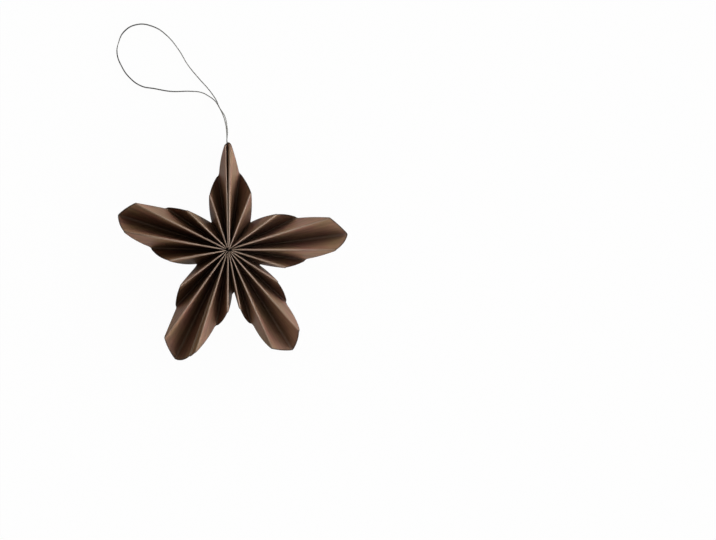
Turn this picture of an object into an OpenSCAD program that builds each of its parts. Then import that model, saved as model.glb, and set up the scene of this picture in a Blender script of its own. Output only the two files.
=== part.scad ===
// Five-armed star of pleated paper with a thread loop. Millimetres.
// It lies on its back on z = 0 with its front up. The seam arm points along +Y, and the hub is on Z.
// One strip is pleated, closed into a ring and cut to length fold by fold. Odd folds are front folds,
// even folds are back folds, and fold 0 is the glued seam.

/* [Paper] */
// Width of one pleat, from fold to fold
pleat_w = 14; // [12:0.5:16]
// Thickness of the paper
paper_t = 0.25; // [0.15:0.01:0.28]
// Radius of the hole that the pleats close up to
hub_r = 1.9; // [1.9:0.1:4]

/* [Cut outline] */
// Back fold at the tip of an arm, from the star's centre
tip_r = 59.5; // [56:0.5:64]
// The same for the lower left arm, which is cut a little longer
lower_left_tip_r = 61.3; // [56:0.1:64]
// Front folds on both sides of the tip, and the square end of the seam arm
long_r = 53.2; // [50:0.1:55]
// Back folds between a long and a short front fold
mid_r = 38.2; // [35:0.1:44]
// Front folds on both sides of a notch
short_r = 30; // [25:0.5:33]
// Back fold at the bottom of a notch
notch_r = 17; // [12:0.5:22]
// The same for the notch between the two lower arms
bottom_notch_r = 21.5; // [12:0.5:24]
// How far the cut bows outwards between a short front fold and the back fold beside it
cut_bow = 1; // [0:0.1:2]

/* [Opening of the pleats] */
// Where those back folds lie, as a share of the way from the long front fold to the short one
mid_share = 0.42; // [0.35:0.01:0.6]
// Angles from the seam to the short front folds of its arm: right, left
seam_arm = [21, 19]; // [15:0.5:24]
// Angles between the four front folds of the left arm, anticlockwise
left_arm = [17.5, 16.5, 20]; // [12:0.5:22]
// The same for the lower left arm
lower_left_arm = [17, 18, 17]; // [12:0.5:22]
// The same for the lower right arm
lower_right_arm = [13, 17, 16]; // [12:0.5:22]
// The same for the right arm
right_arm = [17.5, 17.5, 18.5]; // [12:0.5:22]
// Angle across the notch between the seam arm and the left arm
notch_upper_left = 27; // [10:0.5:36]
// Angle across the notch between the left arm and the lower left arm
notch_left = 27; // [10:0.5:36]
// Angle across the notch between the two lower arms
notch_bottom = 12; // [10:0.5:36]
// Angle across the notch between the lower right arm and the right arm
notch_right = 15.5; // [10:0.5:36]
// Angle across the notch between the right arm and the seam arm
notch_upper_right = 33; // [10:0.5:36]

/* [Seam and thread] */
// Depth of the slot between the two front folds at the seam
slot_depth = 6; // [3:0.5:8]
// Diameter of the thread
thread_d = 0.6; // [0.4:0.05:0.8]
// Length of each thread end inside the slot
thread_hold = 9; // [5:0.5:12]

/* [Hidden] */

paper_colour = [0.17, 0.1, 0.06];
thread_colour = [0.62, 0.63, 0.61];

fold_n = 40;
pair_n = fold_n / 2;
arm_folds = 8;
lower_left_tip = 16;
bottom_notch = 20;
row_n = 8;
seam_deg = 90;
// Clearance between the thread and the slot
thread_gap = 0.02;
// A pleat never opens out quite flat
least_rise = 2;
// The sag grows with this power of the distance from the hub
sag_power = 4;
// The eight folds of an arm, from its tip: share of the way between two front folds, and length
back_share = [0.5, 0, mid_share, 0, 0.5, 0, 1 - mid_share, 0];
fold_r = [tip_r, long_r, mid_r, short_r, notch_r, short_r, mid_r, long_r];
// Bow of the cut on the pleat after each of the eight folds
bow = [0, 0, cut_bow, 0, 0, cut_bow, 0, 0];

// The lowest line of a back fold is on the floor
lift = pleat_w / 2 + paper_t;
slot_z = lift + pleat_w / 2 - slot_depth;
// The two front folds at the seam spread from the hub, so that the thread fits where it starts
hub_half = hub_r * sin(360 / fold_n);
hold_half = thread_d / 2 + thread_gap + paper_t;
seam_half = hub_half + (hold_half - hub_half) * (long_r - hub_r) / (long_r - hub_r - thread_hold);
seam_half_deg = asin(seam_half / long_r);

// All openings, anticlockwise from the seam. They are scaled to fill the circle.
openings = concat(
    [seam_arm[1], notch_upper_left], left_arm,
    [notch_left], lower_left_arm,
    [notch_bottom], lower_right_arm,
    [notch_right], right_arm,
    [notch_upper_right, seam_arm[0]]);

function wrap(i) = (i + fold_n) % fold_n;
function is_front(i) = i % 2 == 1;
function unit(v) = v / norm(v);
function mix(a, b, s) = a + (b - a) * s;
function sum_to(v, n) = n == 0 ? 0 : v[n - 1] + sum_to(v, n - 1);

// Heading of front fold n, counted from the seam
function front_deg(n) =
    n == 0 ? seam_deg + seam_half_deg
    : n == pair_n - 1 ? seam_deg + 360 - seam_half_deg
    : seam_deg + 360 * sum_to(openings, n) / sum_to(openings, len(openings));

function fold_deg(i) =
    i == 0 ? seam_deg
    : is_front(i) ? front_deg((i - 1) / 2)
    : mix(front_deg(i / 2 - 1), front_deg(i / 2), back_share[i % arm_folds]);

function end_r(i) =
    i == 0 ? long_r
    : i == lower_left_tip ? lower_left_tip_r
    : i == bottom_notch ? bottom_notch_r
    : fold_r[i % arm_folds];
function polar(r, a) = r * [cos(a), sin(a)];

// Each fold in plan: its start at the hub, its length and its direction
starts = [for (i = [0:fold_n - 1]) polar(hub_r, seam_deg + 360 * i / fold_n)];
ends = [for (i = [0:fold_n - 1]) polar(end_r(i), fold_deg(i))];
lengths = [for (i = [0:fold_n - 1]) norm(ends[i] - starts[i])];
headings = [for (i = [0:fold_n - 1]) unit(ends[i] - starts[i])];

function plan(i, y) = starts[i] + y * headings[i];
// Width in plan and height of the pleat after fold i, at a distance y along its folds
function gap(i, y) = norm(plan(wrap(i + 1), y) - plan(i, y));
function rise(i, y) = sqrt(max(pow(pleat_w, 2) - pow(gap(i, y), 2), pow(least_rise, 2)));
// Height of a fold above or below the middle of the star
function crest(i, y) = (rise(wrap(i - 1), y) + rise(i, y)) / 4;

// The arms open out and get thinner towards their tips, and sag until the tips lie on the floor
function tip_of(i) = wrap(arm_folds * round(i / arm_folds));
sags = [for (i = [0:fold_n - 1]) pleat_w / 2 - crest(tip_of(i), lengths[tip_of(i)])];
function sag(i, y) = sags[i] * pow((hub_r + y) / end_r(tip_of(i)), sag_power);

// Inner corner of a fold: under a front fold, above a back fold
function corner(i, y) =
    let (p = plan(i, y), h = crest(i, y))
        [p.x, p.y, lift + (is_front(i) ? h : -h) - sag(i, y)];

// Normal, towards the front, of the pleat after fold i. It puts the pleat's two faces paper_t apart.
function normal(i, y) =
    let (
        a = corner(i, y),
        b = corner(wrap(i + 1), y),
        v = is_front(i) ? b - a : a - b,
        e = unit(v),
        up = unit([0, 0, 1] - e.z * e),
        c = paper_t / norm(v)
    )
        c * e + sqrt(1 - c * c) * up;

// Outer side of a fold: a round of radius paper_t about its inner corner
function round_of(i, y) =
    let (
        m = normal(wrap(i - 1), y),
        n = normal(i, y),
        z = [0, 0, 1],
        side = is_front(i) ? paper_t : -paper_t
    )
        [for (d = [m, unit(m + z), unit(n + z), n]) corner(i, y) + side * d];

// Middle of the pleat after fold i, on its front and back faces
function middle(i, s) =
    let (
        j = wrap(i + 1),
        y = s * (mix(lengths[i], lengths[j], 0.5) + bow[i % arm_folds]),
        n = paper_t * normal(i, y),
        a = corner(i, y) + (is_front(i) ? n : [0, 0, 0]),
        b = corner(j, y) + (is_front(j) ? n : [0, 0, 0]),
        front = mix(a, b, 0.5)
    )
        [front, front - n];

// The same for the two pleats at the seam: a foot of the slot's wall and the outside of that wall
function slot_wall(i, s) =
    let (
        j = i == 0 ? 1 : i,
        y = s * lengths[0],
        p = plan(0, y),
        side = plan(j, y) - p,
        foot = p + side - paper_t * unit(side)
    )
        [[foot.x, foot.y, slot_z], [p.x + side.x, p.y + side.y, slot_z]];

function pleat_middle(i, s) = i == 0 || i == fold_n - 1 ? slot_wall(i, s) : middle(i, s);

function slot_floor(s) =
    let (p = plan(0, s * lengths[0]))
        [p.x, p.y, slot_z];

// One row of points across all pleats, at a share s of their length: front side, then back side
function front_row(s) = [
    for (p = [0:pair_n - 1])
        let (b = 2 * p, f = b + 1)
            each concat(
                [b == 0 ? slot_floor(s) : corner(b, s * lengths[b]), pleat_middle(b, s)[0]],
                round_of(f, s * lengths[f]),
                [pleat_middle(f, s)[0]])
];
function back_row(s) = [
    for (p = [0:pair_n - 1])
        let (b = 2 * p, f = b + 1)
            each concat(
                round_of(b, s * lengths[b]),
                [pleat_middle(b, s)[1], corner(f, s * lengths[f]), pleat_middle(f, s)[1]])
];

// Points of a row for one pair of folds, and for the whole ring
pair_pts = 7;
row_pts = pair_pts * pair_n;
side_pts = row_pts * (row_n + 1);

function front_id(row, c) = row * row_pts + c % row_pts;
function back_id(row, c) = side_pts + row * row_pts + c % row_pts;

function side_faces() = [
    for (row = [0:row_n - 1], c = [0:row_pts - 1])
        each [
            [front_id(row, c), front_id(row, c + 1), front_id(row + 1, c)],
            [front_id(row, c + 1), front_id(row + 1, c + 1), front_id(row + 1, c)],
            [back_id(row, c), back_id(row + 1, c), back_id(row, c + 1)],
            [back_id(row, c + 1), back_id(row + 1, c), back_id(row + 1, c + 1)]
        ]
];

// Edge of the paper along one row, from its front points u to its back points w
function edge_faces(row) = [
    for (p = [0:pair_n - 1])
        let (
            c = p * pair_pts,
            u = [for (k = [0:pair_pts]) front_id(row, c + k)],
            w = [for (k = [0:pair_pts]) back_id(row, c + k)]
        )
            each [
                [u[0], w[1], w[0]], [u[0], w[2], w[1]], [u[0], w[3], w[2]],
                [u[0], u[1], w[3]], [u[1], w[4], w[3]],
                [u[1], u[2], w[4]], [u[2], w[5], w[4]],
                [u[2], u[3], w[5]], [u[3], u[4], w[5]], [u[4], u[5], w[5]],
                [u[5], u[6], w[5]], [u[6], w[6], w[5]],
                [u[6], u[7], w[7]], [u[6], w[7], w[6]]
            ]
];
function flipped(faces) = [for (f = faces) [f[2], f[1], f[0]]];

module pleated_star() {
    shares = [for (k = [0:row_n]) k / row_n];
    points = concat([for (s = shares) each front_row(s)], [for (s = shares) each back_row(s)]);
    color(paper_colour)
        polyhedron(points, concat(side_faces(), edge_faces(row_n), flipped(edge_faces(0))));
}

// Thread route: out of the slot, down to the floor, round the loop and back beside itself
thread_r = thread_d / 2;
strand = thread_d + 2 * thread_gap;
low_z = slot_z + thread_r + thread_gap;
high_z = low_z + strand;
floor_z = thread_r;
function fall(z, share) = mix(floor_z, z, share);
route = [
    [0, long_r - thread_hold, low_z],
    [0, long_r - 3, low_z],
    [0, long_r + 2, low_z],
    [-0.7, 59, fall(low_z, 0.88)],
    [-1.5, 63, fall(low_z, 0.62)],
    [-2.8, 67, fall(low_z, 0.31)],
    [-4.8, 71, fall(low_z, 0.11)],
    [-7, 74.5, fall(low_z, 0.03)],
    [-10, 76.8, floor_z],
    [-14, 78.5, floor_z],
    [-19, 79, floor_z],
    [-29, 79.2, floor_z],
    [-37.5, 80.5, floor_z],
    [-44, 82, floor_z],
    [-50, 86.2, floor_z],
    [-53.5, 92, floor_z],
    [-55.6, 98.5, floor_z],
    [-55, 103.5, floor_z],
    [-52.2, 109, floor_z],
    [-46, 112.4, floor_z],
    [-38, 111.8, floor_z],
    [-31.5, 107.5, floor_z],
    [-25, 100, floor_z],
    [-20.6, 92.8, floor_z],
    [-15, 86, floor_z],
    [-10, 80.4, floor_z],
    [-6.2, 75.4, fall(high_z, 0.03)],
    [-3.9, 71, fall(high_z, 0.13)],
    [-2, 67, fall(high_z, 0.35)],
    [-0.8, 63, fall(high_z, 0.64)],
    [-0.1, 59, fall(high_z, 0.89)],
    [0, long_r + 2, high_z],
    [0, long_r - 3, high_z],
    [0, long_r - thread_hold, high_z]
];
steps = 2;
thread_sides = 8;

// Smooth curve through the route's points
function route_pt(k) = route[max(0, min(len(route) - 1, k))];
function curve(k, t) =
    let (
        a = route_pt(k - 1),
        b = route_pt(k),
        c = route_pt(k + 1),
        d = route_pt(k + 2),
        squared = 2 * a - 5 * b + 4 * c - d,
        cubed = 3 * b - a - 3 * c + d
    )
        b + (c - a) * t / 2 + squared * pow(t, 2) / 2 + cubed * pow(t, 3) / 2;
path = concat(
    [for (k = [0:len(route) - 2], j = [0:steps - 1]) curve(k, j / steps)],
    [route[len(route) - 1]]);
path_n = len(path);

// One ring of the thread, across its local direction
function thread_ring(k) =
    let (
        along = unit(path[min(k + 1, path_n - 1)] - path[max(k - 1, 0)]),
        side = unit(cross(along, [0, 0, 1])),
        up = cross(side, along)
    )
        [for (j = [0:thread_sides - 1])
            let (a = 360 * (j + 0.5) / thread_sides)
                path[k] + thread_r * (cos(a) * side + sin(a) * up)];

function thread_id(k, j) = k * thread_sides + j % thread_sides;

module hanging_cord() {
    points = [for (k = [0:path_n - 1]) each thread_ring(k)];
    walls = [
        for (k = [0:path_n - 2], j = [0:thread_sides - 1])
            each [
                [thread_id(k, j), thread_id(k, j + 1), thread_id(k + 1, j)],
                [thread_id(k, j + 1), thread_id(k + 1, j + 1), thread_id(k + 1, j)]
            ]
    ];
    first = [for (j = [thread_sides - 1:-1:0]) thread_id(0, j)];
    last = [for (j = [0:thread_sides - 1]) thread_id(path_n - 1, j)];
    color(thread_colour)
        polyhedron(points, concat(walls, [first, last]));
}

pleated_star();
hanging_cord();
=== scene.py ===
# %% [markdown]
# # A pleated paper star with a thread loop
#
# The object is a flat star of brown paper, about 115 mm across. One long strip of paper is pleated like an
# accordion, closed into a ring, cut into five arms and glued at one seam. A thread loop comes out of that
# seam. The star lies on its back on a white table and the camera looks straight down on it.
#
# Everything is in metres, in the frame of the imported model: the hub is on the Z axis, the table is z = 0,
# and the seam arm points along +Y. Places are listed in millimetres, and MM turns them into metres.

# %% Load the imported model
import functools
import math
import random

import bpy
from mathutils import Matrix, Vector
from mathutils.geometry import interpolate_bezier


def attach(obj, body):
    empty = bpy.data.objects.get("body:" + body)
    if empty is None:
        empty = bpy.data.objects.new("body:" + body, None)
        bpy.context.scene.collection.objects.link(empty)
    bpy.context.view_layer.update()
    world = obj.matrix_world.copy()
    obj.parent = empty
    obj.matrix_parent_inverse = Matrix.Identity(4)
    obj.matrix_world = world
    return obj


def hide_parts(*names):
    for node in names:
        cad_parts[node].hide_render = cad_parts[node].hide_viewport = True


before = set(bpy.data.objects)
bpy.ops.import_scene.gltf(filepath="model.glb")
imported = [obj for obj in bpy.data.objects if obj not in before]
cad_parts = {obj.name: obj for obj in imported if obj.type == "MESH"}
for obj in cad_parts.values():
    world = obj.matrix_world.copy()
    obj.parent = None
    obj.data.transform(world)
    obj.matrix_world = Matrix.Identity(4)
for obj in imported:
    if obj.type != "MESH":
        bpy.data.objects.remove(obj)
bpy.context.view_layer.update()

MM = 0.001
scene = bpy.context.scene
print("nodes:", sorted(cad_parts))

# %% [markdown]
# ## The camera
#
# The picture is taken from straight above, so the camera needs no turn: a new camera looks down the Z axis
# with +Y up. The star sits left of the middle of the frame. A lens shift could move it there, but a camera
# that simply stands beside the hub gives the same frame and stays right for other views. A long lens from
# far above keeps the near front folds and the far back folds almost the same size.

# %% Camera straight above the table
PICTURE_W, PICTURE_H = 716, 540
PIXEL = 0.5 * MM
HUB_PIXEL = (229.1, 250.2)
CAMERA_HEIGHT, CLIP_START = 3, 0.01
SENSOR = 36

camera_x = (PICTURE_W / 2 - HUB_PIXEL[0]) * PIXEL
camera_y = (HUB_PIXEL[1] - PICTURE_H / 2) * PIXEL
bpy.ops.object.select_all(action="DESELECT")
bpy.ops.object.camera_add(location=(camera_x, camera_y, CAMERA_HEIGHT), rotation=(0, 0, 0))
camera = bpy.context.object
camera.name = "camera_above"
camera.data.sensor_fit = "HORIZONTAL"
camera.data.sensor_width = SENSOR
camera.data.lens = SENSOR * CAMERA_HEIGHT / (PICTURE_W * PIXEL)
camera.data.clip_start = CLIP_START
scene.camera = camera
scene.view_settings.view_transform = "Standard"
print("camera at", [round(c, 4) for c in camera.location], "lens", round(camera.data.lens, 1))

# %% [markdown]
# ## The thread loop: its route
#
# A thin silver-grey thread is held by both its ends in the slot of the seam. It comes straight out of the
# slot, falls to the table and lies there as a slack loop. A thread is a curve before it is anything else, so
# it starts as a Bezier curve. The curve is subdivided until it has one point for each point of the route,
# and automatic handles make it run smoothly through them.

# %% Route of the thread, in millimetres
LOW_Z, HIGH_Z, TABLE_Z = 8.57, 9.21, 0.35


def fall(height, share):
    """Height on the way from the slot down to the table."""
    return TABLE_Z + (height - TABLE_Z) * share


ROUTE = [
    (-0.69, 44.2, LOW_Z), (-0.79, 50.2, LOW_Z), (-0.87, 55.2, LOW_Z),
    (-1.05, 59, fall(LOW_Z, 0.88)), (-1.65, 63, fall(LOW_Z, 0.62)), (-2.8, 67, fall(LOW_Z, 0.31)),
    (-4.7, 71, fall(LOW_Z, 0.11)), (-6.95, 74.5, fall(LOW_Z, 0.03)),
    (-9.95, 76.9, TABLE_Z), (-13.9, 78.85, TABLE_Z), (-19, 79.45, TABLE_Z), (-29, 79.4, TABLE_Z),
    (-37.4, 80.8, TABLE_Z), (-43.9, 82.1, TABLE_Z), (-49.8, 86.35, TABLE_Z), (-53.7, 91.9, TABLE_Z),
    (-56, 98.5, TABLE_Z), (-55.3, 103.6, TABLE_Z), (-52.5, 109.25, TABLE_Z), (-46.1, 112.8, TABLE_Z),
    (-38, 111.8, TABLE_Z), (-31.4, 107.6, TABLE_Z), (-25.05, 100, TABLE_Z), (-20.7, 92.8, TABLE_Z),
    (-15.1, 85.9, TABLE_Z), (-10.1, 80.3, TABLE_Z), (-8.3, 77.9, fall(HIGH_Z, 0.03)),
    (-6.6, 75.3, fall(HIGH_Z, 0.11)), (-4.6, 71, fall(HIGH_Z, 0.19)), (-2.1, 67, fall(HIGH_Z, 0.37)),
    (-1.05, 63, fall(HIGH_Z, 0.64)), (-0.65, 59, fall(HIGH_Z, 0.89)),
    (-0.87, 55.2, HIGH_Z), (-0.79, 50.2, HIGH_Z), (-0.69, 44.2, HIGH_Z),
]
NEW_CURVE_SIZE = 0.05

bpy.ops.object.select_all(action="DESELECT")
bpy.ops.curve.primitive_bezier_curve_add(radius=NEW_CURVE_SIZE, location=(0, 0, 0))
thread = bpy.context.object
thread.name = "silver_thread"
bpy.ops.object.mode_set(mode="EDIT")
bpy.ops.curve.select_all(action="SELECT")
bpy.ops.curve.subdivide(number_cuts=len(ROUTE) - 2)
bpy.ops.object.mode_set(mode="OBJECT")
knots = thread.data.splines[0].bezier_points
for point, place in zip(knots, ROUTE):
    point.co = Vector(place) * MM
    point.handle_left_type = point.handle_right_type = "AUTO"
thread.data.update_tag()
bpy.context.view_layer.update()
print("points of the route:", len(knots))

# %% Line and length of the thread
LINE_POINTS = 13

thread_line = []
for a, b in zip(knots[:-1], knots[1:]):
    thread_line += interpolate_bezier(a.co, a.handle_right, b.handle_left, b.co, LINE_POINTS)[:-1]
thread_line.append(knots[-1].co.copy())
thread_length = sum((b - a).length for a, b in zip(thread_line[:-1], thread_line[1:]))
print("thread length in mm:", round(thread_length / MM, 1))

# %% [markdown]
# ## The thread loop: its twist
#
# Such a thread is spun from two plies, which show as a fine rope pattern when one looks closely. The plies
# could be painted on with a bump, but then the outline would stay a plain tube. Instead an oval curve is the
# bevel profile, and the tilt of the points grows along the thread, so that the oval turns like a drill bit.
# The thread is not alike all along: it is bright and drawn thin in some stretches, dull and fuller in others.
# So each point of the route has a painted glint from 0 to 1, painted highlight at 1 and painted shade at 0,
# which also sets the width there.

# %% Oval profile and twist
THREAD_D = 0.6 * MM
PLY_SQUEEZE, OVAL_STEPS = 0.82, 3
TWIST_PITCH = 1.6 * MM
RINGS_A_POINT = 40
# Painted glint of each point: 1 is a painted highlight, 0 is painted shade.
PAINTED_GLINT_AT_POINTS = [
    0.7, 0.7, 0.7, 0.85, 0.9, 0.9, 0.8, 0.75, 0.75, 0.7, 0.5, 0.15, 0, 0, 0, 0.1, 0.1, 1,
    0, 0.2, 0.25, 0.7, 0.9, 1, 0.7, 0.9, 0.8, 0.75, 0.8, 0.9, 0.9, 0.85, 0.7, 0.7, 0.7,
]
DULL_WIDTH, BRIGHT_WIDTH = 1.15, 0.88

bpy.ops.object.select_all(action="DESELECT")
bpy.ops.curve.primitive_bezier_circle_add(radius=THREAD_D / 2, location=(0, 0, 0))
ply_oval = bpy.context.object
ply_oval.name = "ply_oval"
ply_oval.data.resolution_u = OVAL_STEPS
bpy.ops.object.mode_set(mode="EDIT")
bpy.ops.curve.select_all(action="SELECT")
bpy.ops.transform.resize(value=(1, PLY_SQUEEZE, 1))
bpy.ops.object.mode_set(mode="OBJECT")

so_far = 0
for number, point in enumerate(knots):
    if number:
        so_far += (point.co - knots[number - 1].co).length
    point.tilt = 2 * math.pi * so_far / TWIST_PITCH
    point.radius = DULL_WIDTH + (BRIGHT_WIDTH - DULL_WIDTH) * PAINTED_GLINT_AT_POINTS[number]
thread.data.dimensions = "3D"
thread.data.resolution_u = thread.data.render_resolution_u = RINGS_A_POINT
thread.data.bevel_mode = "OBJECT"
thread.data.bevel_object = ply_oval
thread.data.use_fill_caps = True
print("turns of the twist:", round(so_far / TWIST_PITCH))

# %% [markdown]
# ## The thread loop: from curve to mesh
#
# The curve is now made a mesh, because the profile object shouldn't stay in the scene. The rings of the mesh
# follow each other along the route, so each ring can be given the painted glint of its place there. It is kept
# as an attribute of the mesh, which the thread's material reads later.

# %% Curve to mesh
MERGE_WITHIN, THREAD_SMOOTH_DEG = 0.001 * MM, 60


def only(piece):
    """Leaves nothing selected but this piece."""
    bpy.ops.object.select_all(action="DESELECT")
    piece.select_set(True)
    bpy.context.view_layer.objects.active = piece


only(thread)
bpy.ops.object.convert(target="MESH")
bpy.ops.object.mode_set(mode="EDIT")
bpy.ops.mesh.select_all(action="SELECT")
bpy.ops.mesh.remove_doubles(threshold=MERGE_WITHIN)
bpy.ops.mesh.normals_make_consistent(inside=False)
bpy.ops.object.mode_set(mode="OBJECT")
bpy.ops.object.shade_smooth_by_angle(angle=math.radians(THREAD_SMOOTH_DEG))
bpy.data.objects.remove(ply_oval, do_unlink=True)
print("thread faces:", len(thread.data.polygons))

# %% Painted glint along the thread
ring_points = len(thread.data.vertices) / ((len(ROUTE) - 1) * RINGS_A_POINT + 1)
# Each ring keeps its painted glint as an attribute.
painted_glint = thread.data.attributes.new("painted_glint", "FLOAT", "POINT")
for vertex in thread.data.vertices:
    stretch, share = divmod(vertex.index // ring_points / RINGS_A_POINT, 1)
    after = min(int(stretch) + 1, len(PAINTED_GLINT_AT_POINTS) - 1)
    painted_glint.data[vertex.index].value = PAINTED_GLINT_AT_POINTS[int(stretch)] * (1 - share) + PAINTED_GLINT_AT_POINTS[after] * share
print("points in a ring:", ring_points)

# %% The thread in the model
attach(thread, "root")
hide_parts("hanging_cord")
print("thread stands for hanging_cord")

# %% [markdown]
# ## The star: which way its folds run
#
# The strip has 40 pleats between 40 folds: odd folds are front folds, even folds are back folds, and fold 0
# is the seam. Seen from above, each fold is a straight line from the hub outwards. The arms were fanned out
# by hand, so the openings between front folds are uneven. A back fold lies at a fixed share of the way
# between its two front folds, apart from those that were pulled to one side and have an angle of their own.

# %% Headings of the folds
FOLD_N, ARM_FOLDS = 40, 8
BACK_SHARE = [0.5, 0, 0.42, 0, 0.5, 0, 0.58, 0]
SEAM_DEG = 90
FRONT_DEG = [
    91.6, 109, 136.5, 153.5, 170, 190, 216.6, 234, 252, 269,
    281, 294, 311, 327, 343, 360, 377.5, 396.5, 428.7, 450.1,
]
OWN_DEG = {
    0: 90.9, 2: 98.4, 4: 122.5, 6: 146, 8: 162.4, 12: 203.5, 14: 226.8, 16: 243.6, 18: 260.3,
    22: 286.9, 28: 334.7, 30: 352.6, 32: 367.8, 34: 385.9, 36: 412.5, 38: 441.8,
}


def heading(fold):
    """Angle of a fold. A back fold lies between its two front folds, if it has no angle of its own."""
    if fold % 2:
        return FRONT_DEG[fold // 2]
    before, after = FRONT_DEG[fold // 2 - 1], FRONT_DEG[fold // 2]
    return OWN_DEG.get(fold, before + (after - before) * BACK_SHARE[fold % ARM_FOLDS])


turns = [round(after - before, 1) for before, after in zip(FRONT_DEG[:-1], FRONT_DEG[1:])]
print("openings between front folds in degrees:", min(turns), "to", max(turns))

# %% [markdown]
# ## The star: how long its folds are
#
# The cut gives each arm the same eight lengths, from its tip to the notches beside it. Three folds differ:
# the square end of the seam arm, a longer tip and a shallower notch. The shears also strayed by up to a
# millimetre or so at each fold, and cut most pleats in a slight bow. At the hub the pleats are pressed
# together by hand, so their inner corners reach in by different amounts. With the headings, these lengths
# are all that makes the outline of the star.

# %% Fold lines in plan, in millimetres
HUB_R = 1.9
TIP_R, LONG_R, MID_R, SHORT_R, NOTCH_R = 59.5, 53.2, 38.2, 30, 17
FOLD_R = [TIP_R, LONG_R, MID_R, SHORT_R, NOTCH_R, SHORT_R, MID_R, LONG_R]
OWN_R = {0: LONG_R, 16: 61.3, 20: 21.5}
CUT_STRAY = [
    0.5, -0.4, -0.6, -0.9, -0.5, -1.2, -0.4, -0.8,
    -1.2, -0.2, 0.9, 0.3, 0.7, 0.2, 0.5, 1.2,
    -0.5, 0.6, 0, 1.2, 0.3, -0.1, 0.2, 0.7,
    -0.3, 0.4, 0.3, -0.6, 0, -0.1, 0.2, 0.4,
    0.3, 0.1, -0.7, 0.1, 0.7, 0.9, 0.5, 0.5,
]
CUT_BOW = [
    0, 1.4, 0.4, -0.5, -1.3, -0.1, -0.5, 0.3,
    0.5, 0.6, 0.9, 0.1, -2.2, 0.5, -0.9, 0.4,
    1.8, -0.2, 0.8, 0.4, -3.8, 1.1, 1.1, 0.3,
    0.5, 2.3, 0.6, -0.4, -1, 0.2, -0.5, 0.9,
    0.1, -0.1, 0.3, -0.5, -1.2, 0.2, -0.3, 0,
]
FRONT_HUB_STRAY, BACK_HUB_STRAY = (-1.2, 0.3), (-0.1, 0.3)
OWN_HUB = {1: 1.3, 37: 0.3}
HAND_SEED = 11
hand = random.Random(HAND_SEED)


def on_circle(radius, degrees):
    """A point of the plan, by its distance and its angle from the hub."""
    angle = math.radians(degrees)
    return Vector((radius * math.cos(angle), radius * math.sin(angle), 0))


hub_radii = [HUB_R + hand.uniform(*(FRONT_HUB_STRAY if i % 2 else BACK_HUB_STRAY)) for i in range(FOLD_N)]
hub_radii = [OWN_HUB.get(i, radius) for i, radius in enumerate(hub_radii)]
end_radii = [OWN_R.get(i, FOLD_R[i % ARM_FOLDS]) + CUT_STRAY[i] for i in range(FOLD_N)]
starts = [on_circle(hub_radii[i], SEAM_DEG + 360 * i / FOLD_N) for i in range(FOLD_N)]
ends = [on_circle(end_radii[i], heading(i)) for i in range(FOLD_N)]
lengths = [(b - a).length for a, b in zip(starts, ends)]
ways = [(b - a).normalized() for a, b in zip(starts, ends)]
print("fold lengths in mm:", round(min(lengths), 1), "to", round(max(lengths), 1))

# %% [markdown]
# ## The star: how high its folds stand
#
# A pleat keeps its width. Where its two folds lie close together it has to stand upright, and where the arms
# open out it lies flatter. So the height of each fold follows from the plan by the rule of Pythagoras. The
# arms get thinner towards their tips and sag until they touch the table. The inner corners at the hub are
# bent down a little, each by its own amount.

# %% Fold heights
PLEAT_W, PAPER_T = 14, 0.25
LEAST_RISE, SAG_POWER = 2, 4
DIP_DEPTH, DIP_LENGTH, DIP_POWER = 1.3, 4, 2
LIFT = PLEAT_W / 2 + PAPER_T
SHOWN_FOLD = 9


def plan(fold, y):
    """A point of a fold line in plan, at a distance y from its start at the hub."""
    return starts[fold % FOLD_N] + ways[fold % FOLD_N] * y


def rise(fold, y):
    """How far the pleat after this fold climbs from fold to fold."""
    gap = (plan(fold + 1, y) - plan(fold, y)).length
    return math.sqrt(max(PLEAT_W**2 - gap**2, LEAST_RISE**2))


def crest(fold, y):
    """How far a fold stands above or below the middle of the star."""
    return (rise(fold - 1, y) + rise(fold, y)) / 4


def tip_of(fold):
    """The fold at the tip of this fold's arm."""
    return ARM_FOLDS * math.floor(fold / ARM_FOLDS + 0.5) % FOLD_N


sags = [PLEAT_W / 2 - crest(tip_of(i), lengths[tip_of(i)]) for i in range(FOLD_N)]
dips = [hand.uniform(0, DIP_DEPTH) for _ in range(FOLD_N)]


def hub_dip(fold, y):
    """How far the inner corners are bent down."""
    return dips[fold] * max(0, 1 - y / DIP_LENGTH) ** DIP_POWER


shown_heights = [round(LIFT + crest(SHOWN_FOLD, y), 2) for y in (0, lengths[SHOWN_FOLD])]
print("height of front fold", SHOWN_FOLD, "in mm, before it sags, at the hub and at the cut:", shown_heights)

# %% [markdown]
# ## The star: how round its folds are
#
# Paper can't be folded to a knife edge: each fold is a small round, tight at the hub where the pleats are
# pressed together, and softer towards the tips. The back folds, which the star rests on, are the softest. Of
# the two front folds at the seam the left one is pinched tight and the right one is soft. A pleat then is
# the flat stretch that touches the rounds of its two folds, like a belt that runs between two pulleys.

# %% Fold rounds and the lean of the pleats
HUB_ROUND, FRONT_ROUND, BACK_ROUND, ROUND_POWER = 0.165, 0.55, 1.5, 1.3
SEAM_ROUNDS = {1: 0.33, FOLD_N - 1: 1}
UP = Vector((0, 0, 1))


def fold_round(fold, y):
    """Radius of a fold, to the middle of the paper."""
    tip = SEAM_ROUNDS.get(fold % FOLD_N, FRONT_ROUND if fold % 2 else BACK_ROUND)
    return HUB_ROUND + (tip - HUB_ROUND) * max(0, y / TIP_R) ** ROUND_POWER


def front_side(fold):
    """1 for a front fold or the pleat after it, -1 for a back fold or the pleat after it."""
    return 1 if fold % 2 else -1


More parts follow.
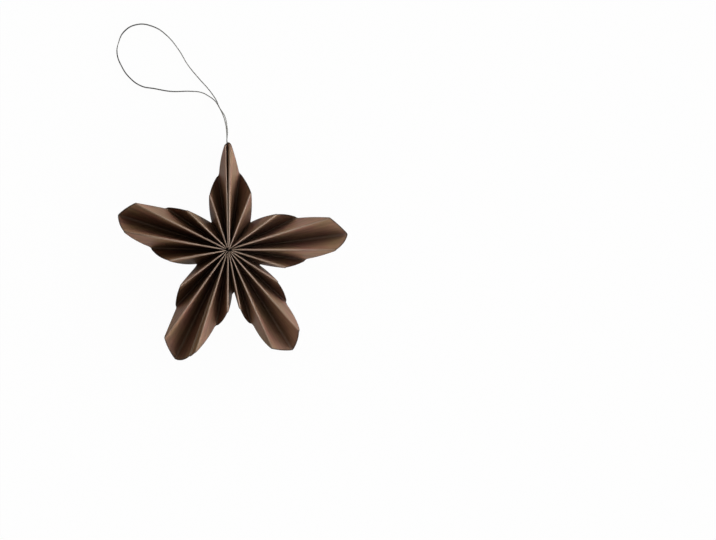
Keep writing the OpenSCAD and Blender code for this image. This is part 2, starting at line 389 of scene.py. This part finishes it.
@functools.cache
def fold_centre(fold, y):
    """Centre of a fold's round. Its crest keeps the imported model's height, apart from the dip at the hub."""
    fold %= FOLD_N
    sag = sags[fold] * ((HUB_R + y) / end_radii[tip_of(fold)]) ** SAG_POWER
    inset = fold_round(fold, y) - PAPER_T / 2
    height = crest(fold, y) - inset - hub_dip(fold, y)
    centre = plan(fold, y) + UP * (LIFT - sag + front_side(fold) * height)
    if fold in SEAM_ROUNDS:
        centre -= (plan(0, y) - plan(fold, y)).normalized() * inset
    return centre


@functools.cache
def pleat_normal(fold, y):
    """Direction towards the front of the pleat after this fold. It touches the rounds of both its folds."""
    if fold in (0, FOLD_N - 1):
        seam_fold = 1 if fold == 0 else fold
        return (plan(0, y) - plan(seam_fold, y)).normalized()
    front, back = (fold, fold + 1) if fold % 2 else (fold + 1, fold)
    across = fold_centre(back, y) - fold_centre(front, y)
    lean = (fold_round(front, y) + fold_round(back, y)) / across.length
    across.normalize()
    upwards = (UP - across * across.z).normalized()
    return across * lean + upwards * math.sqrt(1 - lean**2)


slopes = [math.degrees(pleat_normal(SHOWN_FOLD, y).angle(UP)) for y in (0, lengths[SHOWN_FOLD])]
print("slope of pleat", SHOWN_FOLD, "in degrees, at the hub and at the cut:", [round(s) for s in slopes])

# %% [markdown]
# ## The star: columns of the flat strip
#
# The strip is going to be a flat grid. Its columns run from the hub to the cut, as the folds do: a few
# columns go round each fold, and a few lie across each pleat. Each column knows how to find its point for a
# given share of its length: the place of the point, its distance from the hub along the paper, and how many
# pleats it is away from the seam.

# %% Cut of a pleat


def mix(a, b, share):
    """A value or a point at a share of the way from a to b."""
    return a + (b - a) * share


def hump(share):
    """A round bow: 0 at both ends and 1 in the middle."""
    return 4 * share * (1 - share)


def cut_length(fold, across):
    """Length that the pleat after a fold is cut to, at a share of its width."""
    straight = mix(lengths[fold], lengths[(fold + 1) % FOLD_N], across)
    return straight + CUT_BOW[fold] * hump(across)


shown_cuts = [round(cut_length(SHOWN_FOLD, across), 1) for across in (0, 0.5, 1)]
print("pleat", SHOWN_FOLD, "is cut to, in mm:", shown_cuts)

# %% Points on a fold


def half_round(fold, normal, y):
    """Share of a pleat's width that goes round one half of a fold."""
    return fold_round(fold, y) * math.acos(normal.z) / PLEAT_W


def fold_point(fold, turn, share):
    """On the round of a fold: turn 0 touches the pleat before it, turn 1 the pleat after it."""
    y = share * lengths[fold]
    pleat = fold if turn > 0.5 else fold - 1
    normal = pleat_normal(pleat, y)
    off = abs(2 * turn - 1)
    flat = off * half_round(fold, normal, y)
    y = share * (cut_length(fold, flat) if turn > 0.5 else cut_length(pleat, 1 - flat))
    normal = UP.slerp(pleat_normal(pleat, y), off)
    place = fold_centre(fold, y) + normal * front_side(fold) * fold_round(fold, y)
    return place, y, fold + (flat if turn > 0.5 else -flat)


shown_end = fold_point(SHOWN_FOLD, 0.5, 1)[0]
print("end of fold", SHOWN_FOLD, "in mm:", [round(c, 1) for c in shown_end])

# %% [markdown]
# ## The star: bow and lap of the pleats
#
# Paper is never quite flat, so each pleat bows in or out a little. On one pleat of the lower left arm two
# lengths of the strip are lapped and glued, so a fine step runs along it, close to its front fold. A second
# sheet could lie there, but a step in the one sheet looks the same and leaves no hidden faces.

# %% Points on a pleat
PAPER_BOW, BOW_POWER, DENT_SEED = 0.35, 1.5, 7
LAP_PLEAT, LAP_AT, LAP_STEP, LAP_POWER, LAP_STARTS, LAP_FULL = 16, 0.785, 0.5, 3, 6, 20
dents = random.Random(DENT_SEED)
pleat_bows = [dents.uniform(-1, 1) for _ in range(FOLD_N)]


def ease(share):
    """The same share, with a soft start and end."""
    share = min(max(share, 0), 1)
    return share * share * (3 - 2 * share)


def pleat_point(fold, across, share):
    """On the pleat after a fold, with its bow and its lap."""
    following = (fold + 1) % FOLD_N
    y = share * cut_length(fold, across)
    normal = pleat_normal(fold, y)
    rounds = half_round(fold, normal, y), half_round(following, normal, y)
    flat = mix(rounds[0], 1 - rounds[1], across)
    y = share * cut_length(fold, flat)
    normal = pleat_normal(fold, y)
    side = front_side(fold)
    a = fold_centre(fold, y) + normal * side * fold_round(fold, y)
    b = fold_centre(following, y) - normal * side * fold_round(following, y)
    bow = PAPER_BOW * pleat_bows[fold] * hump(across) * (y / TIP_R) ** BOW_POWER
    if fold == LAP_PLEAT and across <= LAP_AT:
        lifted = ease((y - LAP_STARTS) / (LAP_FULL - LAP_STARTS))
        bow += LAP_STEP * (across / LAP_AT) ** LAP_POWER * lifted
    return mix(a, b, across) + normal * bow, y, fold + flat


shown_middle = pleat_point(SHOWN_FOLD, 0.5, 1)[0]
print("middle of the cut of pleat", SHOWN_FOLD, "in mm:", [round(c, 1) for c in shown_middle])

# %% [markdown]
# ## The star: its seam
#
# The two end pleats are glued to each other at the seam, so they hang straight down from their front folds
# and close up below the slot that holds the thread. They get a function of their own. Then all the columns
# are listed, from one end of the strip to the other.

# %% Seam and list of columns
SLOT_Z, SLOT_HALF, GLUE_BLEND, GLUE_GAP = 8.25, 0.5, 1.6, 0.002
WALL_SHARES = [0.1, 0.25, 0.38, 0.45, 0.5, 0.55, 0.6, 0.7, 0.85, 1]
ROUND_STEPS, PLEAT_SHARES = 6, [0.04, 0.16, 0.33, 0.5, 0.67, 0.84, 0.96]
LAP_EDGE = 0.012
LAP_SHARES = [0.04, 0.16, 0.33, 0.5, 0.62, 0.72, LAP_AT, LAP_AT + LAP_EDGE, 0.88, 0.96]


def seam_point(fold, down, share):
    """On one of the two end pleats, from its front fold down to its glued edge."""
    y = share * (cut_length(0, 1 - down) if fold == 1 else cut_length(fold, down))
    inwards = plan(0, y) - plan(fold, y)
    top = fold_centre(fold, y).z
    z = mix(top, LIFT - crest(0, y) - PAPER_T, down)
    wall = inwards.length - PAPER_T / 2
    slot = min(wall, SLOT_HALF)
    apart = mix(slot, wall, min(max((z - SLOT_Z) / (top - SLOT_Z), 0), 1))
    apart = mix(apart, PAPER_T / 2 + GLUE_GAP, ease((SLOT_Z - z) / GLUE_BLEND))
    place = plan(0, y) - inwards.normalized() * apart
    return Vector((place.x, place.y, z)), y, 1 - down if fold == 1 else fold + down


columns = [(seam_point, 1, down) for down in reversed(WALL_SHARES)]
for fold in range(1, FOLD_N):
    columns += [(fold_point, fold, step / ROUND_STEPS) for step in range(ROUND_STEPS + 1)]
    if fold < FOLD_N - 1:
        shares = LAP_SHARES if fold == LAP_PLEAT else PLEAT_SHARES
        columns += [(pleat_point, fold, across) for across in shares]
columns += [(seam_point, FOLD_N - 1, down) for down in WALL_SHARES]
print("columns:", len(columns))

# %% [markdown]
# ## The star: folding the strip
#
# A maker folds the strip pleat by pleat. In Blender that would be hundreds of moves of one fold line each,
# or an Array of one pleat along a curve, which can't give every arm its own opening. So a grid is added as
# the flat strip, and one loop puts each of its points where folding puts it. The UV map "strip" keeps the
# place on the flat strip, so that the grain of the paper follows the folds: U counts the pleats, V is the
# distance from the hub. In a second UV map, "to_cut", V is the distance to the cut.

# %% Flat strip
ROWS = 30
STRIP_W, STRIP_L = FOLD_N * PLEAT_W, 60

bpy.ops.object.select_all(action="DESELECT")
bpy.ops.mesh.primitive_grid_add(
    x_subdivisions=len(columns) - 1, y_subdivisions=ROWS, size=1, location=(0, 0, 0)
)
paper = bpy.context.object
paper.name = "folded_paper_star"
bpy.ops.object.mode_set(mode="EDIT")
bpy.ops.mesh.select_all(action="SELECT")
bpy.ops.transform.resize(value=(-STRIP_W * MM, STRIP_L * MM, 1))
bpy.ops.mesh.flip_normals()
bpy.ops.object.mode_set(mode="OBJECT")
print("points:", len(paper.data.vertices), "faces:", len(paper.data.polygons))

# %% Folds and UV maps
cuts = [put(fold, where, 1)[1] for put, fold, where in columns]
strip_places, cut_places = [], []
for vertex in paper.data.vertices:
    column = round((vertex.co.x / (STRIP_W * MM) + 0.5) * (len(columns) - 1))
    row = round((vertex.co.y / (STRIP_L * MM) + 0.5) * ROWS)
    put, fold, where = columns[column]
    place, y, counted = put(fold, where, row / ROWS)
    vertex.co = place * MM
    strip_places.append((counted / FOLD_N, y / STRIP_L))
    cut_places.append((counted / FOLD_N, (cuts[column] - y) / STRIP_L))
paper.data.uv_layers[0].name = "strip"
paper.data.uv_layers.new(name="to_cut")
for name, places in (("strip", strip_places), ("to_cut", cut_places)):
    uv_layer = paper.data.uv_layers[name]
    for loop in paper.data.loops:
        uv_layer.data[loop.index].uv = places[loop.vertex_index]
paper.data.update()
print("cut lengths in mm:", round(min(cuts), 1), "to", round(max(cuts), 1))

# %% [markdown]
# ## The star: thickness of the paper
#
# So far the strip has no thickness. A Solidify modifier gives it both faces and its cut edge, and puts each of
# them in a material slot of its own: the cut edge is painted darker than its faces, as painted shade, and the
# folds are worn on their outside, with a painted highlight there, which is the front for one fold and the back
# for the next. Slot 0 is the face that lies towards the table, slot 1 is the front that shows, and slot 2 is
# the edge. The folds are shaded smooth, and the cut edge stays sharp.

# %% Solidify and smooth
PAPER_SMOOTH_DEG = 40
paper_front = bpy.data.materials.new("brown_paper_front")
paper_back = bpy.data.materials.new("brown_paper_back")
paper_edge = bpy.data.materials.new("brown_paper_cut_edge")
for material in (paper_back, paper_front, paper_edge):
    paper.data.materials.append(material)
only(paper)
solidify = paper.modifiers.new("paper_thickness", "SOLIDIFY")
solidify.thickness = PAPER_T * MM
solidify.offset = 0
solidify.material_offset = 1
solidify.material_offset_rim = 2
bpy.ops.object.modifier_apply(modifier=solidify.name)
bpy.ops.object.shade_smooth_by_angle(angle=math.radians(PAPER_SMOOTH_DEG))
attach(paper, "root")
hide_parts("pleated_star")
for word, pick in (("lowest", min), ("highest", max)):
    corner = [round(pick(v.co[axis] for v in paper.data.vertices) / MM, 2) for axis in range(3)]
    print("star's", word, "corner in mm:", corner)
print("star faces:", len(paper.data.polygons))

# %% [markdown]
# ## Paper grain
#
# Brown craft paper isn't one colour. Its pulp makes soft clouds, its fibres make fine streaks along the
# folds, and its surface has a slight tooth. The faces and the cut edge all show this, so it is one node
# group with named inputs. It reads the UV map of the flat strip and puts out a shade factor, a height for
# the tooth, and a tint that lets the hue wander a little. Three helpers come first, so that a node and its
# links take one line each.

# %% Node helpers


def node(tree, kind, settings=None, **sockets):
    """Adds a node. A socket is named with _ for a blank, or i and its number, and given a value or a link."""
    made = tree.nodes.new(kind)
    for name, value in (settings or {}).items():
        setattr(made, name, value)
    for name, value in sockets.items():
        numbered = name[0] == "i" and name[1:].isdigit()
        socket = made.inputs[int(name[1:]) if numbered else name.replace("_", " ")]
        if isinstance(value, bpy.types.NodeSocket):
            tree.links.new(value, socket)
        else:
            socket.default_value = value
    return made


def figure(tree, operation, a, b=0.0, clamp=False):
    """Adds a Math node and gives its result."""
    return node(tree, "ShaderNodeMath", {"operation": operation, "use_clamp": clamp}, i0=a, i1=b).outputs[0]


def new_group(name, inputs, outputs):
    """A node group with number sockets. Gives the group, its input sockets and its output sockets."""
    group = bpy.data.node_groups.new(name, "ShaderNodeTree")
    for socket_name, start in inputs.items():
        socket = group.interface.new_socket(socket_name, in_out="INPUT", socket_type="NodeSocketFloat")
        socket.default_value = start
    for socket_name in outputs:
        group.interface.new_socket(socket_name, in_out="OUTPUT", socket_type="NodeSocketFloat")
    given = group.nodes.new("NodeGroupInput").outputs
    results = group.nodes.new("NodeGroupOutput").inputs
    return group, given, results


print("node helpers:", ", ".join(helper.__name__ for helper in (node, figure, new_group)))

# %% Grain group
# Spots a millimetre across the pleats and along them, and the noise's detail
CLOUDS, STREAKS, TOOTH, TINTS = (0.22, 0.12, 2), (0.4, 0.025, 5), (5, 3.5, 4), (0.15, 0.07, 2)
NOISE_MEAN, TINT_MEAN, TINT_SWING = 0.5, 0.5, 0.1

grain, given, results = new_group(
    "paper_grain",
    {"Cloud Amount": 0.1, "Streak Amount": 0.1, "Tooth Amount": 0.05},
    ("Shade", "Height", "Tint"),
)
strip_uv = node(grain, "ShaderNodeUVMap", {"uv_map": "strip"}).outputs["UV"]


def strip_noise(across, along, detail):
    """Noise on the flat strip, about 0 in the mean."""
    stretch = (STRIP_W * across, STRIP_L * along, 1)
    place = node(grain, "ShaderNodeMapping", Vector=strip_uv, Scale=stretch).outputs[0]
    noise = node(grain, "ShaderNodeTexNoise", Vector=place, Scale=1.0, Detail=detail)
    return figure(grain, "SUBTRACT", noise.outputs["Fac"], NOISE_MEAN)


clouds = figure(grain, "MULTIPLY", strip_noise(*CLOUDS), given["Cloud Amount"])
streaks = figure(grain, "MULTIPLY", strip_noise(*STREAKS), given["Streak Amount"])
tooth = strip_noise(*TOOTH)
specks = figure(grain, "MULTIPLY", tooth, given["Tooth Amount"])
shade = figure(grain, "ADD", figure(grain, "ADD", clouds, streaks), specks)
tint = figure(grain, "ADD", figure(grain, "MULTIPLY", strip_noise(*TINTS), TINT_SWING), TINT_MEAN)
grain.links.new(figure(grain, "ADD", shade, 1.0), results["Shade"])
grain.links.new(tooth, results["Height"])
grain.links.new(tint, results["Tint"])
print("grain group:", len(grain.nodes), "nodes")

# %% [markdown]
# ## Wear and painted highlight along the folds, painted shade along the cut
#
# Along the outside of each fold the dyed skin of the paper is stretched and rubbed, so the crest shows as a
# thin paler line, partly wear and partly a painted highlight, most of all near the hub, where the folds are
# sharpest, and all along the seam. The inside of a fold keeps a fainter crease. Because U counts the pleats,
# the distance to the nearest worn fold is only a matter of taking U to and fro between 0 and 1. Along the cut
# a narrow dark border is painted shade.
#
# The back of the paper is worn at the other folds. So this is a node group as well, and its input says which
# folds are the worn ones: 1 for the front folds, 0 for the back folds.

# %% Fold wear group
# The crest line is partly wear and partly a painted highlight; these numbers set its width and strength.
WEAR_AND_HIGHLIGHT_NEAR, WEAR_AND_HIGHLIGHT_FAR = 0.008, 0.036
WEAR_AND_HIGHLIGHT_AT_HUB, WEAR_AND_HIGHLIGHT_AT_TIP, WEAR_AND_HIGHLIGHT_FADES = 0.9, 0.4, (24, 52)
SEAM_PLEATS, SEAM_WEAR_AND_HIGHLIGHT = 1.5, 0.7
CREASE_WIDTH, CREASE_WEAR = 0.09, 0.4
# A narrow dark border along the cut, painted shade.
CUT_NEAR, CUT_FAR, CUT_DARK = 0.3, 0.8, 0.75


def ramp(tree, value, start, end, low, high):
    """A soft ramp from low to high while the value goes from start to end."""
    return node(
        tree, "ShaderNodeMapRange", {"interpolation_type": "SMOOTHSTEP"},
        Value=value, From_Min=start, From_Max=end, To_Min=low, To_Max=high,
    ).outputs[0]


def flat_place(tree, uv_map="strip"):
    """Place on the flat strip: pleats from the seam, and millimetres from the hub or to the cut."""
    uv = node(tree, "ShaderNodeUVMap", {"uv_map": uv_map}).outputs["UV"]
    flat = node(tree, "ShaderNodeSeparateXYZ", Vector=uv).outputs
    return figure(tree, "MULTIPLY", flat["X"], FOLD_N), figure(tree, "MULTIPLY", flat["Y"], STRIP_L)


fold_marks, given, results = new_group("fold_wear_highlight_and_cut_shade", {"Worn Folds": 1}, ("Wear And Highlight", "Cut Shade"))
pleats, along = flat_place(fold_marks)
from_fold = figure(fold_marks, "PINGPONG", figure(fold_marks, "ADD", pleats, given["Worn Folds"]), 1.0)
fading = ramp(fold_marks, along, *WEAR_AND_HIGHLIGHT_FADES, WEAR_AND_HIGHLIGHT_AT_HUB, WEAR_AND_HIGHLIGHT_AT_TIP)
from_middle = figure(fold_marks, "ABSOLUTE", figure(fold_marks, "SUBTRACT", pleats, FOLD_N / 2))
at_seam = figure(fold_marks, "GREATER_THAN", from_middle, FOLD_N / 2 - SEAM_PLEATS)
strength = figure(fold_marks, "MAXIMUM", fading, figure(fold_marks, "MULTIPLY", at_seam, SEAM_WEAR_AND_HIGHLIGHT))
# Crest line: wear and a painted highlight.
crest_wear_and_highlight = figure(fold_marks, "MULTIPLY", ramp(fold_marks, from_fold, WEAR_AND_HIGHLIGHT_NEAR, WEAR_AND_HIGHLIGHT_FAR, 1.0, 0.0), strength)
creased = ramp(fold_marks, from_fold, 1 - CREASE_WIDTH, 1.0, 0.0, CREASE_WEAR)
to_cut = flat_place(fold_marks, "to_cut")[1]
fold_marks.links.new(figure(fold_marks, "MAXIMUM", crest_wear_and_highlight, creased), results["Wear And Highlight"])
# Painted shade: a dark border along the cut.
fold_marks.links.new(ramp(fold_marks, to_cut, CUT_NEAR, CUT_FAR, CUT_DARK, 0.0), results["Cut Shade"])
print("wear group:", len(fold_marks.nodes), "nodes")

# %% [markdown]
# ## The brown paper, shaded
#
# The paper is a warm, matt brown. Near the hub it is painted a little deeper, as painted shade where the
# pleats shade each other. This function gives a paper material that brown, with the grain's shade, tint and
# tooth on it. The faces and the edge then add what is their own.

# %% Shaded paper
HUB_SHADE_FADES = (14, 42)
TOOTH_BUMP, TOOTH_DEPTH = 0.25, 0.04 * MM


def blend(tree, share, a, b):
    """Mixes two colours."""
    return node(tree, "ShaderNodeMix", {"data_type": "RGBA"}, i0=share, i6=a, i7=b).outputs[2]


# The brown is mixed darker towards the hub: painted shade where the pleats shade each other.
def shaded_paper(material, outer, inner, specular, **amounts):
    """Puts the grain in a paper material. Gives its tree, its shader, the grain and the shaded colour."""
    material.use_nodes = True
    tree = material.node_tree
    shader = tree.nodes["Principled BSDF"]
    shader.inputs["Specular IOR Level"].default_value = specular
    own_grain = node(tree, "ShaderNodeGroup", {"node_tree": grain}, **amounts).outputs
    along = flat_place(tree)[1]
    brown = blend(tree, ramp(tree, along, *HUB_SHADE_FADES, 0.0, 1.0), inner, outer)
    shaded = node(
        tree, "ShaderNodeHueSaturation", Color=brown, Value=own_grain["Shade"], Hue=own_grain["Tint"]
    )
    bump = node(
        tree, "ShaderNodeBump", Height=own_grain["Height"], Strength=TOOTH_BUMP, Distance=TOOTH_DEPTH
    )
    tree.links.new(bump.outputs[0], shader.inputs["Normal"])
    return tree, shader, own_grain, shaded.outputs[0]


print("brown deepens from", HUB_SHADE_FADES[1], "to", HUB_SHADE_FADES[0], "mm from the hub")

# %% [markdown]
# ## The two brown faces
#
# Both faces take the same brown and the same wear and painted highlight, each at its own folds. These are
# patchy, because the grain breaks them up. Only the front shows the lap of the strip: its edge catches the
# light as a second pale line beside the fold, a painted highlight, so it is added to the front alone.

# %% Face materials
# The second brown is painted shade near the hub.
PAPER_BROWN, HUB_SHADE_BROWN = (0.153, 0.08, 0.0465, 1), (0.123, 0.063, 0.036, 1)
# The crest colour is partly wear and partly a painted highlight.
CREST_WEAR_AND_HIGHLIGHT, EDGE_SHADE_BROWN = (0.32, 0.238, 0.183, 1), (0.03, 0.018, 0.011, 1)
PAPER_SPECULAR, PAPER_ROUGH, ROUGH_SWING = 0.25, 0.62, 0.3
LAP_COUNT, LAP_NEAR, LAP_FAR, LAP_SHOWS = 16.782, 0.02, 0.05, (14, 24)


# Painted highlight along the edge of the lap.
def lap_highlight(tree):
    """1 along the edge of the lap, 0 elsewhere."""
    pleats, along = flat_place(tree)
    from_lap = figure(tree, "ABSOLUTE", figure(tree, "SUBTRACT", pleats, LAP_COUNT))
    line = ramp(tree, from_lap, LAP_NEAR, LAP_FAR, 1.0, 0.0)
    return figure(tree, "MULTIPLY", line, ramp(tree, along, *LAP_SHOWS, 0.0, 1.0))


for material, worn_folds in ((paper_front, 1), (paper_back, 0)):
    tree, shader, own_grain, shaded = shaded_paper(
        material, PAPER_BROWN, HUB_SHADE_BROWN, PAPER_SPECULAR,
        Cloud_Amount=0.4, Streak_Amount=1.4, Tooth_Amount=0.3,
    )
    own_fold_marks = node(tree, "ShaderNodeGroup", {"node_tree": fold_marks}, Worn_Folds=worn_folds).outputs
    wear_and_highlight = own_fold_marks["Wear And Highlight"]
    if material == paper_front:
        wear_and_highlight = figure(tree, "MAXIMUM", wear_and_highlight, lap_highlight(tree))
    patchy = figure(tree, "MULTIPLY", wear_and_highlight, own_grain["Shade"], clamp=True)
    face = blend(tree, own_fold_marks["Cut Shade"], blend(tree, patchy, shaded, CREST_WEAR_AND_HIGHLIGHT), EDGE_SHADE_BROWN)
    tree.links.new(face, shader.inputs["Base Color"])
    rough = figure(tree, "ADD", figure(tree, "MULTIPLY", own_grain["Height"], ROUGH_SWING), PAPER_ROUGH)
    tree.links.new(rough, shader.inputs["Roughness"])
    print(material.name, len(tree.nodes), "nodes")

# %% [markdown]
# ## The cut edge of the paper
#
# The cut edge of the paper is painted darker than the face, as painted shade along the cut, and it is without
# sheen and fuzzier than the face. It takes the same grain with stronger specks.

# %% Edge material
EDGE_SPECULAR, EDGE_ROUGH = 0.2, 0.9
# The cut edge itself is painted dark, as painted shade.
tree, shader, own_grain, shaded = shaded_paper(
    paper_edge, EDGE_SHADE_BROWN, EDGE_SHADE_BROWN, EDGE_SPECULAR,
    Cloud_Amount=0.2, Streak_Amount=0.1, Tooth_Amount=0.6,
)
tree.links.new(shaded, shader.inputs["Base Color"])
shader.inputs["Roughness"].default_value = EDGE_ROUGH
print(paper_edge.name, len(tree.nodes), "nodes")

# %% [markdown]
# ## The silver thread
#
# The thread is spun with a fine silvery film. Its glints are painted: it is light in some stretches and dull
# and dark in others, as painted highlight and painted shade. The twist is in the mesh already, and so is the
# painted glint of each ring, as an attribute. The material mixes a dark and a light grey by that painted
# glint, with short flecks on top, and polishes the light places.

# %% Thread material
# The light grey is the painted highlight of the thread, the dark grey its painted shade.
THREAD_DARK, THREAD_GLINT_GREY = (0.04, 0.0415, 0.04, 1), (0.26, 0.265, 0.255, 1)
FLECKS_A_METRE, FLECK_DETAIL, FLECK_SWING = 1600.0, 3.0, 0.6
FLECK_BUMP, FLECK_DEPTH = 0.3, 0.03 * MM
DULL_ROUGH, GLINT_POLISH = 0.55, -0.2
THREAD_METALLIC, THREAD_SPECULAR = 0.3, 0.3

silver = bpy.data.materials.new("silver_grey_thread")
silver.use_nodes = True
tree = silver.node_tree
shader = tree.nodes["Principled BSDF"]
spot = node(tree, "ShaderNodeTexCoord").outputs["Object"]
noise = node(tree, "ShaderNodeTexNoise", Vector=spot, Scale=FLECKS_A_METRE, Detail=FLECK_DETAIL)
flecks = noise.outputs["Fac"]
# Painted glint, read from the attribute.
tone = node(tree, "ShaderNodeAttribute", {"attribute_name": "painted_glint"}).outputs["Fac"]
fleck_share = figure(tree, "MULTIPLY", figure(tree, "SUBTRACT", flecks, NOISE_MEAN), FLECK_SWING)
glint = figure(tree, "ADD", fleck_share, tone, clamp=True)
rough = figure(tree, "ADD", figure(tree, "MULTIPLY", glint, GLINT_POLISH), DULL_ROUGH)
bump = node(tree, "ShaderNodeBump", Height=flecks, Strength=FLECK_BUMP, Distance=FLECK_DEPTH)
tree.links.new(blend(tree, glint, THREAD_DARK, THREAD_GLINT_GREY), shader.inputs["Base Color"])
tree.links.new(rough, shader.inputs["Roughness"])
tree.links.new(bump.outputs[0], shader.inputs["Normal"])
shader.inputs["Metallic"].default_value = THREAD_METALLIC
shader.inputs["Specular IOR Level"].default_value = THREAD_SPECULAR
thread.data.materials.clear()
thread.data.materials.append(silver)
print(silver.name, len(tree.nodes), "nodes")

# %% [markdown]
# ## The white table
#
# The table is a plain white sheet. A table that is only lit would be a little grey beside the star, where the
# picture is pure white, so most of what the camera sees of it is a white glow. It still takes the soft shadow
# of the star. Under the hub the sheet is painted dark, as painted shade, and the glow is off, because there
# one looks down a dark hole between the pleats.

# %% Table
TABLE_SIZE, TABLE_WHITE, TABLE_GLOW = 4, (0.92, 0.92, 0.92, 1), 0.97
# Painted shade: the dark colour of the sheet under the hub.
HUB_DARK, HUB_EDGE, HUB_PAINTED_SHADE = 8 * MM, 13 * MM, (0.05, 0.04, 0.03, 1)

bpy.ops.object.select_all(action="DESELECT")
bpy.ops.mesh.primitive_plane_add(size=TABLE_SIZE, location=(0, 0, 0))
table = bpy.context.object
table.name = "white_table"
white = bpy.data.materials.new("white_sheet")
white.use_nodes = True
table.data.materials.append(white)
tree = white.node_tree
tree.nodes.remove(tree.nodes["Principled BSDF"])


def seen_or_mirrored(tree):
    """1 for what the camera sees, straight or in a glossy or clear surface, and 0 for other light."""
    path = node(tree, "ShaderNodeLightPath").outputs
    mirrored = figure(tree, "MAXIMUM", path["Is Glossy Ray"], path["Is Transmission Ray"])
    return figure(tree, "MAXIMUM", path["Is Camera Ray"], mirrored)


spot = node(tree, "ShaderNodeTexCoord").outputs["Object"]
from_hub = node(tree, "ShaderNodeVectorMath", {"operation": "LENGTH"}, i0=spot).outputs["Value"]
past_hub = node(tree, "ShaderNodeMapRange", Value=from_hub, From_Min=HUB_DARK, From_Max=HUB_EDGE)
open_table = past_hub.outputs[0]
open_glow = figure(tree, "MULTIPLY", open_table, TABLE_GLOW)
glow_share = figure(tree, "MULTIPLY", seen_or_mirrored(tree), open_glow)
# The sheet is painted dark under the hub, as painted shade.
sheet_colour = blend(tree, open_table, HUB_PAINTED_SHADE, TABLE_WHITE)
sheet = node(tree, "ShaderNodeBsdfDiffuse", Color=sheet_colour).outputs[0]
glow = node(tree, "ShaderNodeEmission", Strength=1.0).outputs[0]
both = node(tree, "ShaderNodeMixShader", i0=glow_share, i1=sheet, i2=glow).outputs[0]
tree.links.new(both, tree.nodes["Material Output"].inputs["Surface"])
print(white.name, len(tree.nodes), "nodes")

# %% [markdown]
# ## Soft light from all round
#
# The star is lit as in a light tent: bright walls all round, low down, and a dark roof where the camera looks
# in. That is why the inner pleats, which stand close together, are almost black while the open sides of the
# arms are bright. The right wall is brighter and cooler than the left one. The World can do this without
# lamps: its strength grows towards the horizon and towards the right, and its colour goes from warm on the
# left to cool on the right.

# %% World
ROOF, WALLS, WALL_POWER, RIGHT = 0.12, 6.8, 10, 0.87
BRIGHT_DEG = 5
BRIGHT_SIDE = on_circle(1, BRIGHT_DEG)
WARM_LEFT, COOL_RIGHT = (1, 0.88, 0.7, 1), (0.98, 1, 1.06, 1)

world = bpy.data.worlds.new("light_tent")
scene.world = world
world.use_nodes = True
tree = world.node_tree
tent = tree.nodes["Background"]
way = node(tree, "ShaderNodeTexCoord").outputs["Generated"]
height = node(tree, "ShaderNodeSeparateXYZ", Vector=way).outputs["Z"]
level = figure(tree, "SUBTRACT", 1.0, figure(tree, "MULTIPLY", height, height))
low_walls = figure(tree, "MULTIPLY", figure(tree, "POWER", level, WALL_POWER), WALLS)
to_bright = node(tree, "ShaderNodeVectorMath", {"operation": "DOT_PRODUCT"}, i0=way, i1=BRIGHT_SIDE)
rightwards = to_bright.outputs["Value"]
sided = figure(tree, "ADD", figure(tree, "MULTIPLY", rightwards, RIGHT), 1.0)
light = figure(tree, "ADD", figure(tree, "MULTIPLY", low_walls, sided), ROOF)
to_right = figure(tree, "ADD", figure(tree, "MULTIPLY", rightwards, 0.5), 0.5)
tree.links.new(light, tent.inputs["Strength"])
tree.links.new(blend(tree, to_right, WARM_LEFT, COOL_RIGHT), tent.inputs["Color"])
print(world.name, len(tree.nodes), "nodes")
